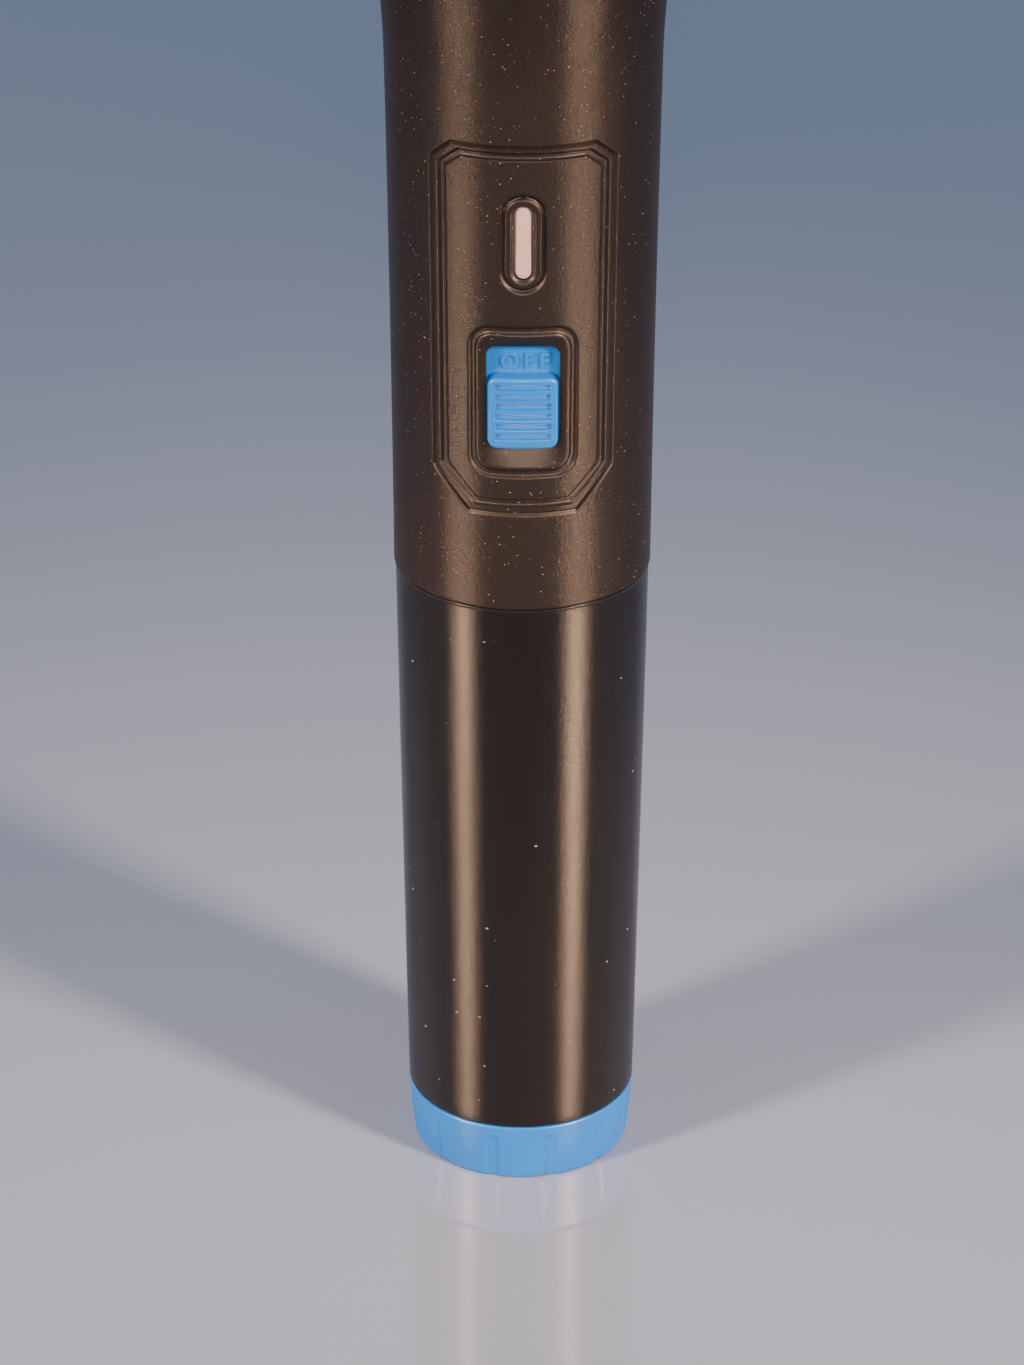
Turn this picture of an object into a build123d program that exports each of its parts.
from build123d import *
import os
from math import asin, atan, cos, degrees, pi, radians, sin

# A wireless hand-held karaoke microphone, standing on its tail cap.
# Frame: origin at the centre of the tail cap's foot, +Z up the axis to the
# grille, -Y towards the switch side. Millimetres.

# ---- driving dimensions ----------------------------------------------------
TOTAL_HEIGHT = 255.0

# tail cap
CAP_RIM_R = 16.5
CAP_RIM_Z = 9.1
CAP_FOOT_R = 15.72
CAP_WALL = 1.4
FLUTES = 12
FLUTE_R = 1.1
FLUTE_DEPTH = 0.4
FLUTE_TOP_Z = 6.4

# lower barrel (battery sleeve)
BARREL_FOOT_Z = 9.35
BARREL_MID = (17.11, 50.0)
SEAM_Z = 93.33
BARREL_TOP_R = 17.66
BARREL_WALL = 1.55
NECK_R = 15.98
NECK_TOP_Z = 103.5
NECK_BORE_R = 14.85

# upper shell (handle)
SHELL_FOOT_R = 17.89
SHELL_MID = (18.08, 131.0)
FLARE_START = (18.48, 166.0)
SHELL_TOP = (22.26, 196.0)
SHELL_BORE_R = 16.4
SHELL_BORE_TOP_R = 16.85
SHELL_TOP_BORE_R = 20.6
THREAD_LAND_R = 16.05
THREAD_LAND_Z = (94.6, 104.6)
SEAL_SKIRT_R = 16.95
EDGE = 0.3
PANEL_R = 18.1

# control panel, heights and half widths along the curved skin
PANEL_LINE = ((9.9, 160.1), (13.3, 156.7), (13.3, 113.2), (7.6, 107.5))
PANEL_LINE_WIDTH = 0.38
PANEL_LINE_DEPTH = 0.25
CHANNEL_OUTER = ((8.0, 158.8), (11.6, 156.0), (11.6, 113.9), (6.8, 108.7))
CHANNEL_INNER = ((7.4, 157.8), (10.5, 155.5), (10.5, 114.4), (6.2, 109.8))
CHANNEL_DEPTH = 0.5

# status light window
LIGHT_Z = 146.6
LIGHT_MOAT = (6.3, 14.0)
LIGHT_RING = (4.7, 12.3)
LIGHT_SLOT = (2.4, 10.2)
LIGHT_MOAT_DEPTH = 0.45

# switch well
WELL_Z = 124.0
WELL_MOAT = (14.8, 22.0, 3.0)
WELL_RIM = (12.4, 19.3, 2.2)
WELL_FLOOR_Y = -17.0
WINDOW = (9.8, 14.45, 0.9)
WINDOW_Z = 124.53
SLIDE_LAND_Y = -16.15

# slide switch
TRAVEL = 4.1
KNOB = (9.5, 10.2)
KNOB_Z = 122.5
KNOB_FACE_Y = -18.25
KNOB_RIM = 0.95
KNOB_GROOVES = 6
KNOB_GROOVE_PITCH = 1.43
KNOB_GROOVE = (7.5, 0.75, 0.6)
SLIDE_PLATE = (11.2, 19.8, 1.0)

# battery cells
CELL_R = 7.1
CELL_X = 7.25
CELL_LENGTH = 50.5
BUTTON = (2.8, 1.1)
TRAY_Z = (35.6, 90.0)
CONTACT = 0.3
GAP = 0.05
SPRING_HEIGHT = TRAY_Z[1] - TRAY_Z[0] - CELL_LENGTH - 2 * CONTACT - 4 * GAP

# chassis
CHASSIS_R = 14.6
BOARD_Y = (-8.0, -6.4)
BOARD_BACK = 6.1
AERIAL_Y = 9.6
BOARD = (22.0, 107.5, 176.0)

# head
SOCKET_R = 18.0
SOCKET_SCREWS = ((-9.6, 7.2), (9.6, 7.2))
COLLAR_Z = (197.0, 205.5)
COLLAR_R = 22.3
BALL_R = 25.5
BALL_Z = TOTAL_HEIGHT - BALL_R
BAND_Z = (226.5, 232.0)
BAND_R = 26.0
MESH = 0.9
FOAM = 5.0
GASKET_Z = (196.05, 196.95)


# ---- helpers ---------------------------------------------------------------
def turned(*outline):
    """A round solid from edges drawn as (radius, height)."""
    return revolve(Plane.XZ * make_face(Curve() + list(outline)), Axis.Z)


def lathe(*points):
    """A round solid from straight runs between (radius, height) points."""
    return revolve(Plane.XZ * make_face(Polyline(*points, close=True)), Axis.Z)


def tube(outer, inner, low, high):
    """A plain round tube, or a disc when inner is 0."""
    base = Cylinder(outer, high - low, align=(Align.CENTER, Align.CENTER, Align.MIN))
    if inner:
        base -= Cylinder(inner, high - low, align=(Align.CENTER, Align.CENTER, Align.MIN))
    return Pos(0, 0, low) * base


def block(x, y, z):
    """A box from its three pairs of limits."""
    size = [side[1] - side[0] for side in (x, y, z)]
    middle = [sum(side) / 2 for side in (x, y, z)]
    return Pos(*middle) * Box(*size)


def ball_arc(radius, centre_z, start, end):
    """An arc centred on the axis, between two angles from the horizontal, in degrees."""
    middle = (start + end) / 2
    return ThreePointArc(
        *((radius * cos(radians(a)), centre_z + radius * sin(radians(a))) for a in (start, middle, end))
    )


def front(sketch, y_from, y_to):
    """A prism of a front-view sketch (x, z) between two depths, y_to nearer the user."""
    return Pos(0, y_from, 0) * extrude(Plane.XZ * sketch, y_from - y_to)


def across(arc):
    """The x of a point that lies arc millimetres round the skin from the front."""
    return PANEL_R * sin(arc / PANEL_R)


def octagon(corners):
    """The front view of a panel outline with its corners given for one side."""
    right = [(across(arc), z) for arc, z in corners]
    left = [(-x, z) for x, z in reversed(right)]
    return make_face(Polyline(*right, *left, close=True))


def rounded(width, height, radius, z):
    return Pos(0, z) * RectangleRounded(width, height, radius)


def obround(width, height, z):
    return Pos(0, z) * RectangleRounded(width, height, width / 2 - 0.001)


def skin(depth):
    """The band of space from depth under the shell's surface outwards, by the panel."""
    sunk = [(r - depth, z) for r, z in ((SHELL_FOOT_R, SEAM_Z + EDGE), SHELL_MID, FLARE_START)]
    clear = PANEL_R + 6
    return lathe(*sunk, (clear, sunk[2][1]), (clear, sunk[0][1]))


def carved(sketch, depth):
    """What to cut away for a front-view sketch sunk to one depth under the skin."""
    return skin(depth) & front(sketch, 0, -30)


def lead(points, diameter):
    """A flexible lead: straight runs joined by tangent arcs as large as the runs allow."""
    route = [Vector(*p) for p in points]
    runs = [b - a for a, b in zip(route, route[1:])]
    radii = []
    for before, after in zip(runs, runs[1:]):
        half_turn = radians(before.get_angle(after)) / 2
        radii.append(0.45 * min(before.length, after.length) / (sin(half_turn) / cos(half_turn)))
    path = FilletPolyline(*route, radius=radii)
    section = Plane(origin=path @ 0, z_dir=path % 0) * Circle(diameter / 2)
    tube_solid = sweep(section, path=path)
    expected = pi * diameter**2 / 4 * path.length
    print(f"  lead radii {[round(r, 1) for r in radii]}, volume ratio {tube_solid.volume / expected:.3f}")
    return tube_solid


# ---- tail and barrel -------------------------------------------------------
def tail_cap():
    """Blue colour cap: a shallow cup with a round-edged foot and grip flutes."""
    foot = 0.5
    inner = CAP_RIM_R - CAP_WALL
    cup = turned(
        Line((0, 0), (CAP_FOOT_R - foot, 0)),
        ThreePointArc(
            (CAP_FOOT_R - foot, 0),
            (CAP_FOOT_R - foot + foot * sin(pi / 4), foot - foot * cos(pi / 4)),
            (CAP_FOOT_R, foot),
        ),
        ThreePointArc((CAP_FOOT_R, foot), (16.3, 5.0), (CAP_RIM_R, CAP_RIM_Z - EDGE)),
        Polyline(
            (CAP_RIM_R, CAP_RIM_Z - EDGE),
            (CAP_RIM_R - EDGE, CAP_RIM_Z),
            (inner, CAP_RIM_Z),
            (inner, 3.4),
            (inner - 1.2, 2.0),
            (0, 2.0),
            (0, 0),
        ),
    )
    lean = degrees(atan((CAP_RIM_R - CAP_FOOT_R) / CAP_RIM_Z))
    reach = CAP_FOOT_R - FLUTE_DEPTH + FLUTE_R
    cutter = Cylinder(FLUTE_R, FLUTE_TOP_Z + 2, align=(Align.CENTER, Align.CENTER, Align.MIN))
    cutter += Pos(0, 0, FLUTE_TOP_Z + 2) * Sphere(FLUTE_R)
    cutter = Pos(reach, 0, -2) * Rot(0, lean, 0) * cutter
    for n in range(FLUTES):
        cup -= Rot(0, 0, (n + 0.5) * 360 / FLUTES) * cutter
    return cup


def lower_barrel():
    """The sleeve round the cells: slightly barrelled, with a screw neck on top."""
    top_inner = BARREL_TOP_R - BARREL_WALL
    foot_inner = CAP_RIM_R - BARREL_WALL - 0.2
    spigot = CAP_RIM_R - CAP_WALL - 0.05
    return turned(
        ThreePointArc((CAP_RIM_R, BARREL_FOOT_Z), BARREL_MID, (BARREL_TOP_R, SEAM_Z - 0.35)),
        Polyline(
            (BARREL_TOP_R, SEAM_Z - 0.35),
            (BARREL_TOP_R - 0.25, SEAM_Z - 0.1),
            (NECK_R, SEAM_Z - 0.1),
            (NECK_R, NECK_TOP_Z - 0.5),
            (NECK_R - 0.5, NECK_TOP_Z),
            (NECK_BORE_R, NECK_TOP_Z),
            (NECK_BORE_R, SEAM_Z - 2.0),
            (top_inner, SEAM_Z - 4.0),
            (foot_inner, BARREL_FOOT_Z + 3.0),
            (foot_inner - 0.5, 3.6),
            (spigot, 3.6),
            (spigot, BARREL_FOOT_Z),
            (CAP_RIM_R, BARREL_FOOT_Z),
        ),
    )


def joint_seal():
    """The rubber ring that the shell closes down on."""
    return Pos(0, 0, SEAM_Z + 0.4) * Torus(16.45, 0.42)


# ---- upper shell and its controls ------------------------------------------
def upper_shell():
    """The handle's outer skin, with the engraved panel, light slot and switch well."""
    body = Polyline((SHELL_FOOT_R, SEAM_Z + EDGE), SHELL_MID, FLARE_START)
    flare = TangentArc(FLARE_START, SHELL_TOP, tangent=body % 1)
    bore_flare = ThreePointArc((SHELL_BORE_TOP_R, 168.0), (18.3, 182.5), (SHELL_TOP_BORE_R, 194.0))
    shell = turned(
        body,
        flare,
        Polyline(SHELL_TOP, (SHELL_TOP_BORE_R, SHELL_TOP[1]), (SHELL_TOP_BORE_R, 194.0)),
        bore_flare,
        Polyline(
            (SHELL_BORE_TOP_R, 168.0),
            (SHELL_BORE_R, THREAD_LAND_Z[1]),
            (THREAD_LAND_R, THREAD_LAND_Z[1]),
            (THREAD_LAND_R, THREAD_LAND_Z[0]),
            (SEAL_SKIRT_R, THREAD_LAND_Z[0]),
            (SEAL_SKIRT_R, SEAM_Z),
            (SHELL_FOOT_R - EDGE, SEAM_Z),
            (SHELL_FOOT_R, SEAM_Z + EDGE),
        ),
    )
    line = octagon(PANEL_LINE)
    shell -= carved(line - offset(line, -PANEL_LINE_WIDTH, kind=Kind.INTERSECTION), PANEL_LINE_DEPTH)
    shell -= carved(octagon(CHANNEL_OUTER) - octagon(CHANNEL_INNER), CHANNEL_DEPTH)

    light_ring = obround(*LIGHT_RING, LIGHT_Z)
    shell -= carved(obround(*LIGHT_MOAT, LIGHT_Z) - light_ring, LIGHT_MOAT_DEPTH)
    shell -= front(obround(*LIGHT_SLOT, LIGHT_Z), -10, -30)

    rim = rounded(*WELL_RIM, WELL_Z)
    window = rounded(*WINDOW, WINDOW_Z)
    shell -= carved(rounded(*WELL_MOAT, WELL_Z) - rim, CHANNEL_DEPTH)
    shell -= loft([(Plane.XZ.offset(18.4) * rim).face(), (Plane.XZ.offset(-WELL_FLOOR_Y) * window).face()])
    shell -= front(window, -10, -30)
    land = Pos(0, WELL_Z + 0.55) * Rectangle(SLIDE_PLATE[0] + 0.4, SLIDE_PLATE[1] + TRAVEL + 1.4)
    shell -= front(land, -10, SLIDE_LAND_Y)
    return shell


def status_lens():
    """Milky light guide that clips into the slot from inside."""
    window = front(obround(LIGHT_SLOT[0] - 0.1, LIGHT_SLOT[1] - 0.1, LIGHT_Z), -16.1, -17.65)
    flange = front(obround(4.0, 13.0, LIGHT_Z), -15.2, -16.1)
    stem = front(Pos(0, LIGHT_Z) * Rectangle(2.2, 3.2), -9.9, -15.2)
    return window + flange + stem


def switch_knob():
    """The sliding button with its ribs, wide slide plate and the fork behind."""
    low = KNOB_Z - KNOB[1] / 2
    button = front(rounded(*KNOB, 1.1, KNOB_Z), SLIDE_LAND_Y + 0.15, KNOB_FACE_Y)
    button = fillet(button.faces().sort_by(Axis.Y)[0].edges(), 0.3)
    for n in range(KNOB_GROOVES):
        z = KNOB_Z + (n - (KNOB_GROOVES - 1) / 2) * KNOB_GROOVE_PITCH
        slot = Pos(0, z) * Rectangle(KNOB_GROOVE[0], KNOB_GROOVE[1])
        button -= front(slot, KNOB_FACE_Y + KNOB_GROOVE[2], KNOB_FACE_Y - 1)
    plate_face = SLIDE_LAND_Y + 0.05
    plate_back = plate_face + SLIDE_PLATE[2]
    plate_z = low - 0.1 - TRAVEL - 0.4 + SLIDE_PLATE[1] / 2
    plate = front(Pos(0, plate_z) * Rectangle(*SLIDE_PLATE[:2]), plate_back, plate_face)
    fork = block((-2.2, 2.2), (plate_back - 0.1, -12.5), (119.6, 120.9))
    fork += block((-2.2, 2.2), (plate_back - 0.1, -12.5), (124.1, 125.4))
    return button + plate + fork


def switch_lever():
    """The electrical switch's own slider, held in the knob's fork."""
    nub = block((-1.2, 1.2), (-14.6, -11.2), (121.05, 123.95))
    wiper = block((-1.2, 1.2), (-11.2, -10.5), (120.8, 124.2))
    return nub + wiper


def slide_switch():
    """Metal-cased slide switch on the board."""
    case = block((-3.8, 3.8), (-11.5, BOARD_Y[0]), (115.5, 133.5))
    case -= block((-1.4, 1.4), (-12.0, -10.3), (120.6, 128.5))
    for z in (118.0, 124.5, 131.0):
        case += block((-0.5, 0.5), (BOARD_Y[0] - 0.1, BOARD_Y[1] + 1.2), (z - 0.4, z + 0.4))
    return case


# ---- board -----------------------------------------------------------------
def circuit_board():
    """Radio and audio board, notched for the switch pins and its two screws."""
    board = block((-BOARD[0] / 2, BOARD[0] / 2), BOARD_Y, BOARD[1:])
    for z in (118.0, 124.5, 131.0):
        board -= block((-0.7, 0.7), BOARD_Y, (z - 0.6, z + 0.6))
    for x, z in ((-8.0, 112.0), (8.0, 171.0)):
        board -= front(Pos(x, z) * Circle(1.3), BOARD_Y[1], BOARD_Y[0])
    return board


def status_led():
    return block((-1.6, 1.6), (-9.5, BOARD_Y[0]), (144.9, 148.3))


def rf_shield():
    """Pressed tin can over the radio section, on the back of the board."""
    can = block((-8.5, 8.5), (BOARD_Y[1], -3.0), (140.0, 164.0))
    return can - block((-8.2, 8.2), (BOARD_Y[1], -3.3), (140.3, 163.7))


def radio_chip():
    return block((-3.5, 3.5), (BOARD_Y[1], -5.4), (149.0, 156.0))


def audio_chip():
    return block((-5.5, 0.5), (-9.6, BOARD_Y[0]), (159.0, 164.0))


def quartz_crystal():
    """Low can crystal beside the audio chip."""
    return front(Pos(5.0, 160.5) * RectangleRounded(4.4, 7.0, 2.1), BOARD_Y[0], -10.2)


def capsule_plug():
    """White two-way socket for the capsule leads, at the top of the board."""
    shell = block((-9.5, -2.5), (-11.6, BOARD_Y[0]), (167.0, 173.0))
    return shell - block((-8.8, -3.2), (-11.0, -9.0), (169.0, 174.0))


def board_screws():
    """Two self-tapping screws through the board into the chassis."""
    screws = []
    for x, z in ((-8.0, 112.0), (8.0, 171.0)):
        shank = front(Pos(x, z) * Circle(1.1), -2.4, BOARD_Y[0])
        head = front(Pos(x, z) * Circle(2.1), BOARD_Y[0], BOARD_Y[0] - 1.5)
        slot = front(Pos(x, z) * (Rectangle(2.4, 0.5) + Rectangle(0.5, 2.4)), BOARD_Y[0] - 0.8, -12)
        screws.append(shank + head - slot)
    return Compound(children=screws)


# ---- chassis and cells -----------------------------------------------------
def chassis():
    """One long moulding: aerial former, cell tray, neck plug and board carrier."""
    tray = tube(CHASSIS_R, 0, 34.0, 91.5)
    for x in (-CELL_X, CELL_X):
        tray -= Pos(x, 0, 0) * tube(CELL_R + 0.1, 0, *TRAY_Z)
    tray -= block((-20, 20), (-20, 3.0), TRAY_Z)
    former = tube(8.0, 6.4, 12.0, 34.0) + tube(10.2, 6.4, 12.0, 13.2)
    plug = tube(CHASSIS_R, 12.6, 91.5, 105.0) + tube(16.2, 12.6, 104.65, 107.0)
    carrier = tube(16.2, 14.8, 107.0, 180.0) & block((-20, 20), (2.0, 20), (107.0, 180.0))
    floor = tube(16.2, 0, 107.0, 180.0) & block((-20, 20), (2.0, 3.4), (107.0, 180.0))
    body = tray + former + plug + carrier + floor
    for x, z in ((-8.0, 112.0), (8.0, 171.0)):
        body += front(Pos(x, z) * Circle(2.6), 3.0, BOARD_Y[1])
        body -= front(Pos(x, z) * Circle(1.1), -2.4, BOARD_Y[1])
    deck = tube(16.2, 12.6, 178.0, 180.0) & block((-20, 20), (-20, 2.1), (178.0, 180.0))
    body += deck
    for x, y in SOCKET_SCREWS:
        body += Pos(x, y, 0) * tube(2.6, 0, 172.0, 188.95)
        body -= Pos(x, y, 0) * tube(1.1, 0, 179.0, 190.0)
    for x in (-CELL_X, CELL_X):
        body -= Pos(x, 0, 0) * tube(1.1, 0, TRAY_Z[1] - 0.1, 92.0)
    return body - Pos(0, AERIAL_Y, 0) * tube(0.9, 0, 33.5, 92.0)


def cell():
    """One AA cell standing on its flat end."""
    shoulder = CELL_LENGTH - BUTTON[1]
    return lathe((0, 0), (CELL_R, 0), (CELL_R, shoulder), (BUTTON[0], shoulder), (BUTTON[0], CELL_LENGTH),
                 (0, CELL_LENGTH))


def cell_spring():
    """Conical battery spring standing on its wide end, as the cone that its wire lies in."""
    wide, narrow, wire = 4.6, 2.8, 0.6
    return lathe((wide, 0), (narrow, SPRING_HEIGHT), (narrow - wire, SPRING_HEIGHT), (wide - wire, 0))


def upside_down(solid, x, top):
    """A piece drawn upwards from the base plane, hung from a height instead."""
    return Pos(x, 0, top) * Rot(180, 0, 0) * solid


def contact_plate(x):
    """Plated steel contact that lies against the tray's top wall, behind a cell's end."""
    top = TRAY_Z[1] - GAP
    return block((x - 5.0, x + 5.0), (-5.0, 5.0), (top - CONTACT, top))


def link_plate():
    """Contact across the tray's foot that joins the two cells in series."""
    low = TRAY_Z[0] + GAP
    return block((-12.0, 12.0), (-5.0, 2.8), (low, low + CONTACT))


# ---- leads and aerial ------------------------------------------------------
def aerial_coil():
    """The helical aerial on its former."""
    return tube(9.0, 8.05, 15.0, 32.0)


def battery_lead(side):
    """Lead from a cell contact, up through the neck, to the foot of the board."""
    x = side * CELL_X
    route = [(x, 0, 89.98), (x, 0, 95.0), (side * 6.2, -0.6, 100.0), (side * 4.4, -1.7, 104.5),
             (side * 3.0, -3.2, 108.6), (side * 2.8, -BOARD_BACK, 111.6)]
    return lead(route, 1.2)


def aerial_lead():
    """Lead from the aerial up the channel behind the cells to the board."""
    route = [(0, AERIAL_Y, 30.0), (0, AERIAL_Y, 94.0), (0.2, 8.0, 99.6), (0.6, 4.2, 103.8),
             (0.9, 0.2, 106.9), (1.1, -3.2, 110.2), (1.1, -BOARD_BACK, 112.6)]
    return lead(route, 1.0)


def capsule_lead(side):
    """Lead from the capsule's back, through the socket and the deck, into the plug."""
    route = [(side * 0.9, 0, 199.5), (side * 0.9, -0.2, 192.5), (side * 1.0 - 0.8, -2.3, 187.0),
             (side * 1.1 - 2.6, -5.1, 182.3), (side * 1.2 - 4.2, -7.7, 178.4),
             (side * 1.2 - 5.5, -9.5, 174.6), (side * 1.2 - 6.0, -10.0, 169.3)]
    return lead(route, 1.0)


# ---- head socket and capsule -----------------------------------------------
def head_socket():
    """Threaded seat for the head, closing the top of the shell."""
    socket = lathe((18.5, 186.2), (20.2, 193.6), (20.45, 194.4), (20.45, 195.8), (SOCKET_R, 195.8),
                   (SOCKET_R, 203.6), (17.6, 204.0), (14.4, 204.0), (14.4, 192.0), (9.0, 192.0),
                   (9.0, 189.0), (16.0, 189.0), (16.0, 186.2))
    for x, y in SOCKET_SCREWS:
        socket -= Pos(x, y, 0) * tube(1.3, 0, 188.0, 193.0)
    return socket


def socket_screws():
    """Two screws that pull the socket down on the chassis posts."""
    screws = []
    for x, y in SOCKET_SCREWS:
        shank = Pos(x, y, 0) * tube(1.1, 0, 180.0, 192.0)
        head = Pos(x, y, 0) * tube(2.1, 0, 192.0, 193.4)
        cross = Pos(x, y, 193.2) * (Box(2.4, 0.5, 0.9) + Box(0.5, 2.4, 0.9))
        screws.append(shank + head - cross)
    return Compound(children=screws)


def capsule_mount():
    """Rubber ring that cushions the capsule in the socket."""
    return lathe((14.3, 194.2), (14.3, 205.2), (15.6, 205.2), (15.6, 207.0), (12.6, 207.0), (12.6, 197.0),
                 (9.5, 197.0), (9.5, 194.2))


def capsule_case():
    """The capsule's cup."""
    return lathe((12.5, 197.2), (12.5, 222.0), (11.6, 222.0), (11.6, 198.2), (2.5, 198.2), (2.5, 197.2))


def capsule_yoke():
    """Soft-iron pot round the magnet."""
    return lathe((9.5, 204.0), (9.5, 214.5), (7.6, 214.5), (7.6, 205.5), (0, 205.5), (0, 204.0))


def capsule_magnet():
    return tube(6.0, 0, 205.5, 212.5)


def pole_piece():
    return tube(6.4, 0, 212.5, 214.5)


def voice_coil():
    return tube(7.3, 6.7, 211.5, 216.4)


def diaphragm():
    """Thin domed membrane with its flat surround."""
    centre, outer, inner = 202.0, 16.4, 16.15
    upper = ball_arc(outer, centre, 63.6, 90)
    lower = ball_arc(inner, centre, 63.6, 90)
    return turned(
        upper,
        Line(upper @ 1, lower @ 1),
        lower,
        Polyline(lower @ 0, (11.5, (lower @ 0).Y), (11.5, (upper @ 0).Y), upper @ 0),
    )


def coil_carrier():
    """Ring that centres the pot and holds the membrane's edge in the cup."""
    return lathe((11.55, 203.0), (11.55, 216.3), (9.6, 216.3), (9.6, 203.9), (6.0, 203.9), (6.0, 203.0))


def capsule_guard():
    """Pierced front plate over the membrane."""
    guard = lathe((12.5, 222.1), (12.5, 223.4), (0, 223.4), (0, 222.1))
    guard += lathe((11.5, 218.6), (11.5, 222.2), (10.4, 222.2), (10.4, 218.6))
    for count, radius, hole in ((1, 0, 1.1), (6, 4.0, 1.1), (12, 7.9, 1.1)):
        for n in range(count):
            guard -= Rot(0, 0, n * 360 / count) * Pos(radius, 0, 0) * tube(hole, 0, 222.0, 224.0)
    return guard


# ---- head ------------------------------------------------------------------
def head_gasket():
    return tube(21.7, 18.3, *GASKET_Z)


def head_collar():
    """The head's threaded ring."""
    low, high = COLLAR_Z
    return turned(
        Polyline((SOCKET_R + 0.06, low), (COLLAR_R - EDGE, low), (COLLAR_R, low + EDGE)),
        ThreePointArc((COLLAR_R, low + EDGE), (COLLAR_R + 0.12, 201.0), (COLLAR_R - 0.5, high - 0.6)),
        Polyline(
            (COLLAR_R - 0.5, high - 0.6),
            (COLLAR_R - 1.2, high),
            (19.4, high),
            (19.4, 204.2),
            (SOCKET_R + 0.06, 204.2),
            (SOCKET_R + 0.06, low),
        ),
    )


def half_ball(outer, inner, low):
    """The part of a hollow ball on the head's centre that lies above a height."""
    skirt = [ball_arc(r, BALL_Z, degrees(asin((low - BALL_Z) / r)), 90) for r in (outer, inner)]
    return turned(skirt[0], Line(skirt[0] @ 1, skirt[1] @ 1), skirt[1], Line(skirt[1] @ 0, skirt[0] @ 0))


def grille_basket():
    """Lower half of the mesh head, as a plain closed skin of the mesh's thickness."""
    low, high = COLLAR_Z[1] + 0.05, BAND_Z[0]
    return turned(
        ThreePointArc((20.9, low), (23.9, 215.5), (25.3, high)),
        Line((25.3, high), (25.3 - MESH, high)),
        ThreePointArc((25.3 - MESH, high), (23.9 - MESH, 215.5), (20.9 - MESH, low)),
        Line((20.9 - MESH, low), (20.9, low)),
    )


def grille_band():
    """Coloured ring that joins the two mesh halves."""
    low, high = BAND_Z
    return turned(
        Line((24.8, low), (25.6, low)),
        ThreePointArc((25.6, low), (BAND_R, (low + high) / 2), (25.6, high)),
        Polyline((25.6, high), (24.8, high), (24.8, low)),
    ) + tube(24.8, 23.6, low + 0.8, high - 0.8)


def grille_dome():
    """Upper half of the mesh head."""
    return half_ball(BALL_R, BALL_R - MESH, BAND_Z[1])


def windscreen_foam():
    """Open-cell foam lining of the grille."""
    outer = BALL_R - MESH - 1.3
    crown = ball_arc(outer, BALL_Z, 0, 90)
    hollow = ball_arc(outer - FOAM, BALL_Z, 0, 90)
    return turned(
        ThreePointArc((19.0, 207.5), (22.0, 216.0), crown @ 0),
        crown,
        Line(crown @ 1, hollow @ 1),
        hollow,
        Polyline(hollow @ 0, (17.4, 214.0), (16.6, 207.5), (19.0, 207.5)),
    )


# ---- write -----------------------------------------------------------------
LOW_CONTACT = TRAY_Z[0] + GAP + CONTACT
HIGH_CONTACT = TRAY_Z[1] - GAP - CONTACT

PARTS = {
    "tail_cap": tail_cap(),
    "lower_barrel": lower_barrel(),
    "joint_seal": joint_seal(),
    "upper_shell": upper_shell(),
    "status_lens": status_lens(),
    "switch_knob": switch_knob(),
    "switch_lever": switch_lever(),
    "slide_switch": slide_switch(),
    "circuit_board": circuit_board(),
    "status_led": status_led(),
    "rf_shield": rf_shield(),
    "radio_chip": radio_chip(),
    "audio_chip": audio_chip(),
    "quartz_crystal": quartz_crystal(),
    "capsule_plug": capsule_plug(),
    "board_screws": board_screws(),
    "chassis": chassis(),
    "cell_left": Pos(-CELL_X, 0, LOW_CONTACT + SPRING_HEIGHT + GAP) * cell(),
    "cell_right": upside_down(cell(), CELL_X, HIGH_CONTACT - SPRING_HEIGHT - GAP),
    "spring_left": Pos(-CELL_X, 0, LOW_CONTACT) * cell_spring(),
    "spring_right": upside_down(cell_spring(), CELL_X, HIGH_CONTACT),
    "contact_plate_left": contact_plate(-CELL_X),
    "contact_plate_right": contact_plate(CELL_X),
    "link_plate": link_plate(),
    "aerial_coil": aerial_coil(),
    "aerial_lead": aerial_lead(),
    "battery_lead_left": battery_lead(-1),
    "battery_lead_right": battery_lead(1),
    "capsule_lead_left": capsule_lead(-1),
    "capsule_lead_right": capsule_lead(1),
    "head_socket": head_socket(),
    "socket_screws": socket_screws(),
    "capsule_mount": capsule_mount(),
    "capsule_case": capsule_case(),
    "coil_carrier": coil_carrier(),
    "capsule_yoke": capsule_yoke(),
    "capsule_magnet": capsule_magnet(),
    "pole_piece": pole_piece(),
    "voice_coil": voice_coil(),
    "diaphragm": diaphragm(),
    "capsule_guard": capsule_guard(),
    "head_gasket": head_gasket(),
    "head_collar": head_collar(),
    "grille_basket": grille_basket(),
    "grille_band": grille_band(),
    "grille_dome": grille_dome(),
    "windscreen_foam": windscreen_foam(),
}

os.makedirs("parts", exist_ok=True)
for name, solid in PARTS.items():
    export_step(solid, f"parts/{name}.step")
print(len(PARTS), "parts written")
